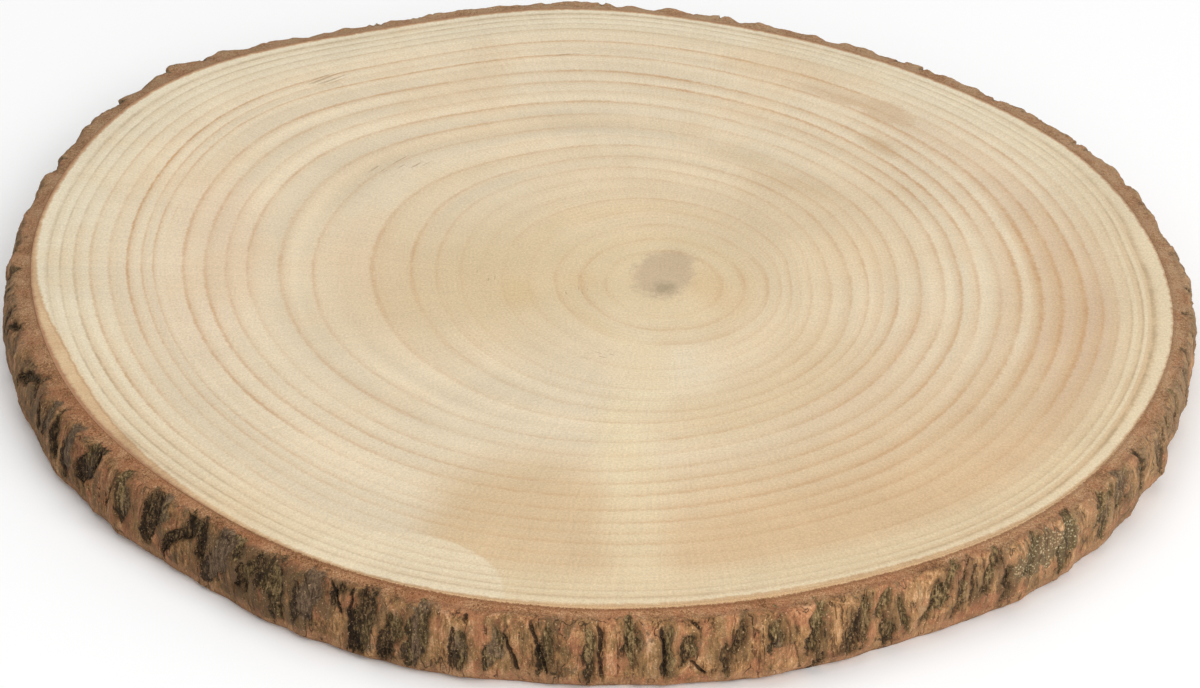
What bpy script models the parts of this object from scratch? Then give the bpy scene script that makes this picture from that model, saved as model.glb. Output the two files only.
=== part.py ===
"""A cross-cut slice of a tree trunk with its bark on: one solid, lying flat.

Metres, +Z up. The origin is the middle of the underside's rectangle, so the slice rests on z = 0.
"""

import math

import bmesh
import bpy
import numpy as np

# Driving dimensions, in metres
THICKNESS = 0.022
WOOD_RADIUS = 0.1671

# The cut isn't quite square to the trunk: the underside lies this far along X and Y from the top face
TRUNK_LEAN = (-0.0017, 0.0)

# The trunk isn't round: each wave adds height * cos(count * (bearing - lean)) to the wood's radius
OUTLINE_WAVES = (
    # count, height, lean in degrees
    (2, 0.0065, -44),
    (3, 0.0020, 20),
    (4, 0.0009, -29),
    (5, 0.0006, 10),
    (6, 0.0010, 22),
    (7, 0.0006, -12),
    (8, 0.00045, 1),
    (9, 0.0003, 17),
    (10, 0.0004, -10),
)

# Section of the bark, outwards from the wood at each level: share of the thickness, reach beyond the wood
BARK_SECTION = (
    (1.000, 0.0000),
    (0.985, 0.0030),
    (0.960, 0.0056),
    (0.875, 0.0070),
    (0.740, 0.0078),
    (0.550, 0.0082),
    (0.350, 0.0080),
    (0.180, 0.0073),
    (0.060, 0.0062),
    (0.000, 0.0050),
)

# Where the bark is thicker or thinner than usual: bearing and half width in degrees, change of its reach
BARK_SWELLS = (
    (10, 4.0, -0.0008),
    (62, 9.0, -0.0004),
    (92, 2.5, 0.0010),
    (118, 4.0, -0.0012),
    (135, 5.0, 0.0026),
    (160, 10.0, -0.0014),
    (175, 6.0, -0.0012),
    (-150, 9.0, 0.0006),
    (-147, 1.2, -0.0014),
    (-130, 7.0, -0.0020),
    (-104, 5.0, 0.0014),
    (-74, 7.0, 0.0022),
    (-58, 6.0, -0.0016),
    (-17, 9.0, -0.0018),
)

# Small lumps all round, as sums of waves whose counts and heights are drawn from one fixed seed
LUMP_SEED = 7
LUMP_WAVES = 14
LUMP_COUNTS = (24, 96)
LUMP_HEIGHT = 0.0008

COLUMNS = 240

WOOD_COLOUR = (0.72, 0.55, 0.35, 1.0)
BARK_COLOUR = (0.20, 0.105, 0.058, 1.0)


def remove_all_objects():
    for item in list(bpy.data.objects):
        bpy.data.objects.remove(item, do_unlink=True)


def make_material(name, colour, roughness):
    material = bpy.data.materials.new(name)
    material.use_nodes = True
    shader = material.node_tree.nodes["Principled BSDF"]
    shader.inputs["Base Color"].default_value = colour
    shader.inputs["Roughness"].default_value = roughness
    shader.inputs["Metallic"].default_value = 0.0
    material.diffuse_color = colour
    return material


def wood_radius(bearing):
    """Distance from the trunk's middle to the edge of the wood, at each bearing in radians."""
    radius = np.full_like(bearing, WOOD_RADIUS)
    for count, height, lean in OUTLINE_WAVES:
        radius += height * np.cos(count * (bearing - math.radians(lean)))
    return radius


def bark_swell(bearing):
    """How much further than its usual section the bark reaches, at each bearing in radians."""
    reach = np.zeros_like(bearing)
    for middle, half_width, height in BARK_SWELLS:
        apart = np.degrees(np.angle(np.exp(1j * (bearing - math.radians(middle)))))
        reach += height * np.exp(-((apart / half_width) ** 2))
    return reach


def bark_lumps(bearing, level):
    """Lumps of the rough outer bark at one level, which lean a little from one level to the next."""
    draw = np.random.default_rng(LUMP_SEED)
    lumps = np.zeros_like(bearing)
    for _ in range(LUMP_WAVES):
        count = int(draw.integers(*LUMP_COUNTS))
        start = draw.uniform(0.0, math.tau)
        drift = draw.uniform(-2.5, 2.5)
        lumps += np.cos(count * bearing + start + drift * level)
    return LUMP_HEIGHT * lumps / math.sqrt(LUMP_WAVES)


def slice_rings():
    """The slice's outline at each level, from the top face down, as arrays of points."""
    bearing = np.arange(COLUMNS) * math.tau / COLUMNS
    wood = wood_radius(bearing)
    full_reach = max(reach for _, reach in BARK_SECTION)
    rings = []
    for level, reach in BARK_SECTION:
        roughness = reach / full_reach
        radius = wood + reach + roughness * bark_swell(bearing)
        radius += roughness**2 * bark_lumps(bearing, level)
        across = radius * np.cos(bearing) + (1.0 - level) * TRUNK_LEAN[0]
        along = radius * np.sin(bearing) + (1.0 - level) * TRUNK_LEAN[1]
        height = np.full_like(bearing, level * THICKNESS)
        rings.append(np.stack([across, along, height], 1))
    return rings


def centre_on_origin(rings):
    """Moves every ring sideways so that the whole slice's rectangle is centred on the origin."""
    outline = np.concatenate(rings)[:, :2]
    middle = (outline.min(0) + outline.max(0)) / 2
    for ring in rings:
        ring[:, :2] -= middle
    return rings


def build_slice():
    """Bridges the rings from the top face to the underside and closes both with a flat face."""
    mesh = bpy.data.meshes.new("wood_slice")
    mesh.materials.append(make_material("wood", WOOD_COLOUR, 0.6))
    mesh.materials.append(make_material("bark", BARK_COLOUR, 0.9))

    shape = bmesh.new()
    rings = [[shape.verts.new(point) for point in ring] for ring in centre_on_origin(slice_rings())]
    for upper, lower in zip(rings, rings[1:]):
        for here in range(COLUMNS):
            after = (here + 1) % COLUMNS
            side = shape.faces.new((upper[here], lower[here], lower[after], upper[after]))
            side.material_index = 1
            side.smooth = True
    shape.faces.new(rings[0])
    shape.faces.new(list(reversed(rings[-1])))
    bmesh.ops.recalc_face_normals(shape, faces=shape.faces)
    shape.to_mesh(mesh)
    shape.free()

    mesh.set_sharp_from_angle(angle=math.radians(40))
    wood_slice = bpy.data.objects.new("wood_slice", mesh)
    bpy.context.scene.collection.objects.link(wood_slice)
    return wood_slice


def main():
    remove_all_objects()
    build_slice()


main()
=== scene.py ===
import math

import bpy
import numpy as np
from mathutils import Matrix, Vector


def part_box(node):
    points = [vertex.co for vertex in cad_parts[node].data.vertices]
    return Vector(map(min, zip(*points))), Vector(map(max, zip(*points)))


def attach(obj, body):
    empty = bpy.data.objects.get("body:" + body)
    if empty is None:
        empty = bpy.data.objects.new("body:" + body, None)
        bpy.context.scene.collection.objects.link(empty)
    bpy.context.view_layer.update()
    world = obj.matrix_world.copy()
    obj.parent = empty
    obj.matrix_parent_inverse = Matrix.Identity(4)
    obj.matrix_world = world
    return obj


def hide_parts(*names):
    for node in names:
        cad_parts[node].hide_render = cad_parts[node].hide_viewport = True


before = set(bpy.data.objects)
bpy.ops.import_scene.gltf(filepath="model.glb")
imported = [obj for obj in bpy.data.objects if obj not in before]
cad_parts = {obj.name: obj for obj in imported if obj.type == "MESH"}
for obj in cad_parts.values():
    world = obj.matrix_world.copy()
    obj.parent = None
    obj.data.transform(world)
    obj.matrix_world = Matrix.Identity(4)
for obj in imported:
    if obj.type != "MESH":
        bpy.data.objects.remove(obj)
bpy.context.view_layer.update()

# the box of the sliced trunk gives every place below
low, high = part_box("wood_slice")
middle = (low + high) / 2
sliceWidth = high.x - low.x
sliceDepth = high.y - low.y
topHeight = high.z
millimetre = 0.001


def shade(red, green, blue):
    # a colour as picked on screen, 0 to 255, to the linear values that shaders use
    parts = np.array((red, green, blue)) / 255.0
    linear = np.where(parts > 0.04045, ((parts + 0.055) / 1.055) ** 2.4, parts / 12.92)
    return tuple(float(part) for part in linear) + (1.0,)


def ease(value):
    # 0 to 1 with a soft start and end
    value = np.clip(value, 0.0, 1.0)
    return value * value * (3.0 - 2.0 * value)


def bumpiness(around, along, cellsAround, cellsAlong, seed):
    # smooth noise from -1 to 1 that closes on itself round the trunk; around and along run from 0 to 1
    draw = np.random.default_rng(seed)
    lattice = draw.uniform(-1.0, 1.0, (cellsAround, cellsAlong + 2))
    across = around * cellsAround
    up = np.clip(along, 0.0, 1.0) * cellsAlong
    left = np.floor(across).astype(int)
    below = np.floor(up).astype(int)
    sideways = ease(across - left)
    upwards = ease(up - below)
    left = left % cellsAround
    right = (left + 1) % cellsAround
    near = lattice[left, below] * (1 - sideways) + lattice[right, below] * sideways
    far = lattice[left, below + 1] * (1 - sideways) + lattice[right, below + 1] * sideways
    return near * (1 - upwards) + far * upwards


def turnApart(bearing, other):
    # difference of two bearings in degrees, from -180 to 180
    return (bearing - other + 180.0) % 360.0 - 180.0


def hill(turn, place, halfWidth, power=2):
    # 1 at one bearing, falling away softly on both sides of it
    return np.exp(-((turnApart(turn, place) / halfWidth) ** power))


def softThrough(places, values, wanted):
    # a smooth curve through values at the known places, read at the wanted ones
    slope = np.gradient(values, places, axis=0)
    here = np.clip(np.searchsorted(places, wanted, side="right") - 1, 0, len(places) - 2)
    gap = (places[here + 1] - places[here])[:, None]
    t = (wanted - places[here])[:, None] / gap
    start, end = values[here], values[here + 1]
    leave, arrive = slope[here] * gap, slope[here + 1] * gap
    return (
        start * (2 * t**3 - 3 * t**2 + 1)
        + leave * (t**3 - 2 * t**2 + t)
        + end * (3 * t**2 - 2 * t**3)
        + arrive * (t**3 - t**2)
    )


def deselectAll():
    if bpy.context.object and bpy.context.object.mode != "OBJECT":
        bpy.ops.object.mode_set(mode="OBJECT")
    bpy.ops.object.select_all(action="DESELECT")


def giveAttribute(piece, name, values, kind="FLOAT"):
    attribute = piece.data.attributes.new(name, kind, "POINT")
    field = "color" if kind == "FLOAT_COLOR" else "value"
    attribute.data.foreach_set(field, np.ascontiguousarray(values, np.float32).ravel())


def readPoints(mesh):
    points = np.empty(len(mesh.vertices) * 3)
    mesh.vertices.foreach_get("co", points)
    return points.reshape(-1, 3)


# one socket of a material: sums and products of wires add Math nodes
class Wire:
    def __init__(self, tree, socket=None):
        self.tree = tree
        self.socket = socket

    def node(self, kind, settings=None, values=None, out=0):
        made = self.tree.nodes.new("ShaderNode" + kind)
        for name, value in (settings or {}).items():
            if name == "stops":
                self.setStops(made.color_ramp, value)
            else:
                setattr(made, name, value)
        for name, value in (values or {}).items():
            if isinstance(value, Wire):
                self.tree.links.new(value.socket, made.inputs[name])
            else:
                made.inputs[name].default_value = value
        return Wire(self.tree, made.outputs[out])

    def setStops(self, ramp, stops):
        while len(ramp.elements) < len(stops):
            ramp.elements.new(0.5)
        for element, (place, colour) in zip(ramp.elements, stops):
            element.position = place
            element.color = colour

    def maths(self, operation, first, second=0.0):
        return self.node("Math", {"operation": operation}, {0: first, 1: second})

    def __add__(self, other):
        return self.maths("ADD", self, other)

    def __sub__(self, other):
        return self.maths("SUBTRACT", self, other)

    def __rsub__(self, other):
        return self.maths("SUBTRACT", other, self)

    def __mul__(self, other):
        return self.maths("MULTIPLY", self, other)

    def __truediv__(self, other):
        return self.maths("DIVIDE", self, other)

    def __abs__(self):
        return self.maths("ABSOLUTE", self)

    __radd__ = __add__
    __rmul__ = __mul__

    def most(self, other):
        return self.maths("MAXIMUM", self, other)

    def rise(self, start, end):
        # 0 at start and 1 at end, whichever is the larger
        settings = {"interpolation_type": "SMOOTHSTEP"}
        return self.node("MapRange", settings, {"Value": self, "From Min": start, "From Max": end})

    def stored(self, name):
        return self.node("Attribute", {"attribute_name": name}, out="Fac")

    def storedColour(self, name):
        return self.node("Attribute", {"attribute_name": name}, out="Color")

    def stretched(self, scale):
        return self.node("Mapping", {"vector_type": "POINT"}, {"Vector": self, "Scale": scale})

    def vector(self, operation, other=(0.0, 0.0, 0.0), out="Vector"):
        return self.node("VectorMath", {"operation": operation}, {0: self, 1: other}, out)

    def raised(self, along, times):
        # this flat direction lifted by a distance, so that a noise on it keeps still along one line
        lift = self.node("CombineXYZ", {}, {"Z": along * times})
        return self.vector("ADD", lift)

    def noise(self, scale, detail=2.0, rough=0.5, twist=0.0):
        values = {"Vector": self, "Scale": scale, "Detail": detail, "Roughness": rough, "Distortion": twist}
        return self.node("TexNoise", {}, values)

    def cells(self, scale, feature="F1", out="Distance"):
        return self.node("TexVoronoi", {"feature": feature}, {"Vector": self, "Scale": scale}, out)

    def toward(self, colour, share):
        # this colour mixed with another one, which is a wire or a colour as picked on screen
        other = colour if isinstance(colour, Wire) else shade(*colour)
        return self.node("Mix", {"data_type": "RGBA"}, {0: share, 6: self, 7: other}, out=2)

    def ramp(self, stops):
        # this value as a colour, by stops of (place, colour as picked on screen)
        shades = [(place, shade(*colour)) for place, colour in stops]
        return self.node("ValToRGB", {"stops": shades}, {"Fac": self})

    def lit(self, brightness):
        # this colour made brighter or darker by a value, or this vector made longer or shorter
        return self.node("VectorMath", {"operation": "SCALE"}, {0: self, "Scale": brightness})


def newMaterial(name, roughness, gloss):
    material = bpy.data.materials.new(name)
    material.use_nodes = True
    shader = material.node_tree.nodes["Principled BSDF"]
    shader.inputs["Roughness"].default_value = roughness
    shader.inputs["Specular IOR Level"].default_value = gloss
    return material, shader, Wire(material.node_tree)


def finishMaterial(tree, shader, colour, roughness, heights):
    # heights are (height wire, distance in metres, strength), from coarse to fine
    tree.links.new(colour.socket, shader.inputs["Base Color"])
    tree.links.new(roughness.socket, shader.inputs["Roughness"])
    normal = None
    for height, distance, strength in heights:
        values = {"Height": height, "Distance": distance, "Strength": strength}
        if normal:
            values["Normal"] = normal
        normal = height.node("Bump", {}, values, out="Normal")
    tree.links.new(normal.socket, shader.inputs["Normal"])


levelStep = 0.0002           # points closer in height than this are on one ring of the frame's solid


def readRings(node):
    points = np.unique(np.round(readPoints(node.data), 6), axis=0)
    order = np.argsort(points[:, 2])
    cuts = np.where(np.diff(points[order, 2]) > levelStep)[0] + 1
    rings = [points[group] for group in np.split(order, cuts)]
    print("   rings in the frame:", len(rings), "points each:", sorted({len(ring) for ring in rings}))
    return rings


def radiusAt(ring, centre, bearing):
    # distance from centre to the ring at each bearing in radians
    away = ring[:, :2] - np.array(centre[:2])
    turn = np.arctan2(away[:, 1], away[:, 0])
    order = np.argsort(turn)
    return np.interp(bearing, turn[order], np.hypot(away[:, 0], away[:, 1])[order], period=math.tau)


rings = readRings(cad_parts["wood_slice"])
woodEdge = rings[-1]          # the topmost ring is where wood and bark meet
undersideLean = rings[0][:, :2].mean(0) - woodEdge[:, :2].mean(0)


woodLook = {
    "columns": 900,
    "topRows": 84,
    "underRows": 20,
    "jointGap": 0.00003,                 # the wood stops this far inside its edge, the bark as far outside
    "arris": 0.00008,                    # how far the sanded rim drops
    "pith": (0.0567, -0.0181),           # share of the slice's width and depth from its middle
    "rings": (
        # share of the way from pith to edge, how dark its line is, how wide in mm
        (0.062, 0.10, 1.0), (0.108, 0.30, 1.2), (0.150, 0.55, 1.1), (0.195, 0.45, 0.9), (0.235, 0.20, 0.9),
        (0.272, 0.40, 0.8), (0.300, 0.15, 0.8), (0.330, 0.35, 0.8), (0.368, 0.45, 0.8), (0.407, 0.62, 0.8),
        (0.448, 0.66, 0.8), (0.482, 0.25, 0.7), (0.515, 0.72, 0.8), (0.562, 0.80, 0.9), (0.609, 0.86, 0.9),
        (0.645, 0.78, 0.8), (0.680, 0.84, 0.9), (0.720, 0.95, 0.9), (0.755, 0.82, 0.8), (0.785, 0.92, 0.9),
        (0.815, 0.76, 0.8), (0.850, 0.86, 0.8), (0.880, 0.70, 0.7), (0.910, 0.62, 0.7), (0.935, 0.40, 0.6),
        (0.957, 0.85, 0.5), (0.974, 1.00, 0.45),
    ),
    "oneSided": (
        # rings fainter or darker on one side: number from the pith, bearing, half width, strength there
        (19, 180, 60, 0.15), (19, 100, 40, 0.2), (21, 95, 42, 0.25), (23, 90, 40, 0.25), (16, 95, 34, 0.4),
        (12, 180, 50, 0.3), (22, -60, 30, 0.4), (20, -100, 30, 0.5), (24, -80, 40, 0.4), (17, -40, 25, 0.5),
        (26, -75, 55, 0.5), (27, -85, 50, 0.6), (26, 70, 50, 0.6), (27, 65, 50, 0.65), (24, 5, 36, 1.3),
        (25, 5, 36, 1.9), (26, 5, 30, 0.75), (27, 5, 30, 0.8), (22, 180, 40, 1.3), (24, 180, 40, 1.5),
        (25, 180, 42, 2.1), (26, 180, 42, 1.15),
    ),
    "paleSide": (-102, 52, 0.42),        # where all lines are fainter: bearing, half width, how much
    "bandSide": (-45, 55, 0.9),          # where the warm bands inside the lines are broader: the same
    # how far the rings lie off centre and out of round, at places from the pith to the edge
    "eccentric": (
        (0.0, 0.0), (0.2, 0.0), (0.33, 0.04), (0.41, 0.042), (0.5, 0.075), (0.6, 0.08), (0.68, 0.078),
        (0.75, 0.07), (0.8, 0.045), (0.86, 0.02), (0.93, 0.006), (1.0, 0.0),
    ),
    "eccentricTo": 165.0,
    "oval": ((0.0, 0.0), (0.2, 0.01), (0.33, 0.026), (0.41, 0.026), (0.5, 0.012), (0.6, 0.008), (0.75, 0.018),
             (0.84, 0.018), (0.93, 0.004), (1.0, 0.0)),
    "ovalTo": -80.0,
    "wander": 0.0032,                    # how far the ring lines wander, as a share of the radius
    "wavy": (12, 24, 0.0042),            # where the last rings are wavy: bearing, half width, how far
    "drawnIn": (2, 34, 0.017),           # where they lie further in: the same
    "ringTone": (0.065, 0.045),          # how much the tone changes between rings, in broad and short arcs
    "base": (226, 208, 178),
    "rimPale": (227, 215, 187),
    "rimFront": (225, 206, 170),
    "blots": (
        # x, y, half width, half depth in mm, turn in degrees, colour, strength, softness
        (-42, -8, 34, 30, 10, (212, 187, 148), 0.75, 0.8),
        (-20, 8, 26, 30, 0, (216, 192, 150), 0.45, 0.9),
        (22, 2, 46, 44, 0, (219, 195, 154), 0.6, 0.9),
        (60, 30, 36, 24, 30, (214, 191, 156), 0.65, 0.9),
        (96, -86, 48, 36, -42, (214, 187, 153), 0.40, 0.9),
        (60, -130, 40, 24, 20, (214, 185, 145), 0.6, 0.9),
        (-112, 20, 12, 34, 10, (224, 198, 168), 0.6, 0.8),
        (-120, -20, 12, 30, 18, (224, 200, 172), 0.4, 0.8),
        (-66, 6, 9, 22, 12, (221, 196, 162), 0.5, 0.8),
        (118, 62, 26, 40, 20, (228, 211, 183), 0.5, 0.8),
        (60, 50, 15, 5, -35, (208, 184, 148), 0.7, 0.7),
        (45, 66, 12, 4, 150, (208, 186, 150), 0.6, 0.7),
        (74, 108, 15, 4, -30, (211, 186, 153), 0.7, 0.6),
        (62, 122, 20, 3, -24, (216, 192, 158), 0.5, 0.7),
        (89, 76, 8, 3, -52, (205, 182, 148), 0.8, 0.6),
        (25, -52, 9, 11, 0, (230, 214, 184), 0.8, 0.8),
        (-17, -132, 27, 34, 12, (213, 186, 147), 0.95, 0.45),
        (-30, -138, 16, 18, 0, (214, 187, 148), 0.85, 0.5),
        (10, -112, 8, 60, 0, (229, 211, 174), 0.85, 0.7),
        (13, -60, 6, 26, 4, (231, 214, 180), 0.6, 0.8),
    ),
    "pithBlots": (
        (23, -6, 20, 24, 0, (220, 199, 158), 0.4, 0.6),
        (34, -10, 6, 12, 20, (217, 186, 142), 0.55, 0.7),
        (-22, -12, 5, 8, 10, (216, 188, 142), 0.6, 0.7),
        (-4, -4, 4, 5, 0, (218, 190, 146), 0.5, 0.7),
    ),
    "patches": {
        # name: places with a crisp edge, as x, y, half width, half depth in mm, turn in degrees
        "smudge": ((19.6, -1, 9.2, 14, -6), (23, 6, 6, 8, -20)),
        "core": ((20.0, -8.4, 3.6, 3.4, 15),),
        "stain": ((90.5, 97, 11, 6.5, -50), (80, 104, 11, 3.0, -32), (88, 77, 6, 2.4, -52)),
        "wedge": ((-58, -162, 34, 28, 0),),
        "sanderMarks": (
            (2, -46, 5, 2.5, 0), (-6, -10, 4, 2.5, 20), (-32, -1, 3.5, 3.5, 0), (-60, 65, 11, 4, 20),
            (-84, 121, 9, 4, 25), (-6, 135, 7, 3, 0),
        ),
    },
    "arcs": (
        # place between pith and edge, half width, middle bearing, half length in degrees, colour, strength
        (0.810, 0.045, 8, 44, (209, 178, 145), 0.85),
        (0.880, 0.065, -30, 46, (208, 179, 147), 0.95),
        (0.840, 0.120, -66, 36, (216, 183, 139), 0.85),
        (0.940, 0.035, -62, 30, (215, 186, 144), 0.75),
        (0.690, 0.110, -66, 30, (218, 186, 143), 0.55),
        (0.450, 0.150, -64, 34, (216, 190, 148), 0.60),
        (0.735, 0.022, -10, 44, (218, 190, 156), 0.6),
        (0.900, 0.022, 80, 26, (213, 190, 156), 0.7),
        (0.650, 0.030, 60, 30, (216, 193, 160), 0.45),
        (0.545, 0.028, 120, 40, (219, 195, 158), 0.5),
        (0.430, 0.030, 150, 60, (219, 196, 158), 0.45),
        (0.560, 0.030, -35, 30, (217, 190, 158), 0.5),
        (0.470, 0.018, 10, 40, (219, 194, 160), 0.5),
        (0.155, 0.025, 60, 75, (219, 193, 152), 0.5),
        (0.190, 0.025, 230, 60, (217, 192, 152), 0.5),
        (0.165, 0.020, -15, 40, (214, 184, 146), 0.6),
        (0.250, 0.016, 100, 50, (216, 190, 148), 0.5),
    ),
    # by bearing: where the bark's colour starts and how wide the tan bast beside it is, in mm inward
    "joint": (
        (-180, 0.3), (-172, 0.5), (-160, 1.1), (-150, 1.0), (-140, 0.7), (-125, 0.0), (-110, -0.4),
        (-90, -1.1), (-60, -1.0), (-45, -0.6), (-30, -0.2), (-15, 0.0), (20, 0.2), (60, 0.5), (90, 0.6),
        (150, 0.6), (180, 0.3),
    ),
    "bast": (
        (-180, 1.6), (-174, 2.4), (-166, 4.4), (-158, 4.4), (-150, 3.6), (-142, 2.4), (-132, 1.4),
        (-110, 0.9), (-90, 2.0), (-60, 2.4), (-45, 1.2), (-30, 0.7), (-15, 0.3), (20, 0.5), (90, 0.7),
        (150, 0.7), (170, 0.8), (180, 1.6),
    ),
    "bastStops": ((0.2, (188, 150, 108)), (0.5, (203, 167, 125)), (0.8, (212, 182, 140))),
    "colours": {
        "warm": (222, 196, 158),
        "wedge": (229, 212, 180),
        "band": (206, 172, 130),
        "stain": (205, 178, 143),
        "smudge": (197, 174, 143),
        "core": (168, 150, 120),
        "line": (194, 148, 102),
        "rimLine": (156, 134, 102),
        "dash": (140, 106, 72),
        "bastEdge": (176, 138, 98),
        "nearJoint": (160, 112, 78),
        "bark": (166, 120, 86),
    },
    "lineStrength": 0.60,
    "bandStrength": 0.52,
    "brightness": 0.945,
    # how much the brightness changes along the rays, from grain to grain, place to place and in fine rings
    "contrast": {"streaks": 0.20, "fine": 0.62, "soft": 0.22, "stripes": 0.024},
}


def woodSections(columns):
    # the pith, and the distance from it to the edge of the wood round the top and underside
    right, back = woodLook["pith"]
    pith = np.array((middle.x + right * sliceWidth, middle.y + back * sliceDepth))
    bearing = np.arange(columns) * math.tau / columns
    return pith, bearing, radiusAt(woodEdge, pith, bearing)


def addWoodDisc():
    # a flat round plate, then drawn in many times on both faces so that the rings can follow its points
    look = woodLook
    radius = float(np.hypot(woodEdge[:, 0], woodEdge[:, 1]).mean())
    deselectAll()
    bpy.ops.mesh.primitive_circle_add(
        vertices=look["columns"], radius=radius, fill_type="NGON", location=(0, 0, 0)
    )
    piece = bpy.context.object
    piece.name = "wood_disc"
    bpy.ops.object.mode_set(mode="EDIT")
    bpy.ops.mesh.select_all(action="SELECT")
    bpy.ops.mesh.extrude_region_move(TRANSFORM_OT_translate={"value": (0, 0, topHeight)})
    for height, rows in ((topHeight, look["topRows"]), (0.0, look["underRows"])):
        bpy.ops.mesh.select_all(action="DESELECT")
        bpy.ops.object.mode_set(mode="OBJECT")
        for face in piece.data.polygons:
            face.select = len(face.vertices) > 4 and abs(face.center.z - height) < millimetre
        bpy.ops.object.mode_set(mode="EDIT")
        bpy.ops.mesh.select_mode(type="FACE")
        # each row is a copy of the last one drawn in, because insets this small drift sideways near the pith
        for row in range(rows - 1, 0, -1):
            smaller = row / (row + 1)
            bpy.ops.mesh.extrude_region()
            bpy.ops.transform.resize(value=(smaller, smaller, 1.0), center_override=(0.0, 0.0, height))
        bpy.ops.mesh.poke()
    bpy.ops.mesh.select_all(action="SELECT")
    bpy.ops.mesh.normals_make_consistent(inside=False)
    bpy.ops.object.mode_set(mode="OBJECT")
    return piece, radius


def ringPlace(share, bearing, top=True):
    # which growth ring a point is on: its share of the way to the edge, less the lean of the rings
    look = woodLook
    degrees = np.degrees(bearing)
    steps = np.array(look["eccentric"])
    ovals = np.array(look["oval"])
    around = (bearing / math.tau) % 1.0
    place = share.copy()
    wander = np.zeros_like(share)
    for cells, size, seed in ((9, 1.0, 41), (17, 0.6, 42), (38, 0.35, 43)):
        wander += size * bumpiness(around, share, cells, 12, seed if top else seed + 50)
    wander *= look["wander"] * ease(share * 4) * (1 - 0.5 * ease((share - 0.8) * 5))
    # the last rings are wavy on the right, and lie further in there
    sideAt, halfWidth, size = look["wavy"]
    wavy = hill(degrees, sideAt, halfWidth) * ease((share - 0.76) * 9) * (1 - ease((share - 0.955) * 40))
    wander += size * wavy * bumpiness(around, share, 44, 6, 44)
    sideAt, halfWidth, size = look["drawnIn"]
    inward = hill(degrees, sideAt, halfWidth) * ease((share - 0.80) * 9) * (1 - ease((share - 0.95) * 20))
    wander += size * inward
    for _ in range(6):
        lean = np.interp(place, steps[:, 0], steps[:, 1])
        oval = np.interp(place, ovals[:, 0], ovals[:, 1])
        place = share + wander - lean * np.cos(np.radians(degrees - look["eccentricTo"]))
        place -= oval * np.cos(np.radians(2 * (degrees - look["ovalTo"])))
    return np.clip(place, 0.0, 1.0)


def blotShare(x, y, blot, warpX, warpY):
    # how much of one soft stain each point takes
    centreX, centreY, halfWidth, halfDepth, turn = [float(part) for part in blot[:5]]
    soft = blot[7]
    right = x / millimetre - centreX + warpX
    back = y / millimetre - centreY + warpY
    cos, sin = math.cos(math.radians(turn)), math.sin(math.radians(turn))
    along = (right * cos + back * sin) / halfWidth
    across = (back * cos - right * sin) / halfDepth
    reach = np.hypot(along, across)
    return blot[6] * (1 - ease((reach - (1 - soft)) / (2 * soft)))


def alongTurn(name, turn):
    # one of the lists by bearing, read at each bearing in degrees
    known = np.array(woodLook[name])
    return np.interp(turn, known[:, 0], known[:, 1])


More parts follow.
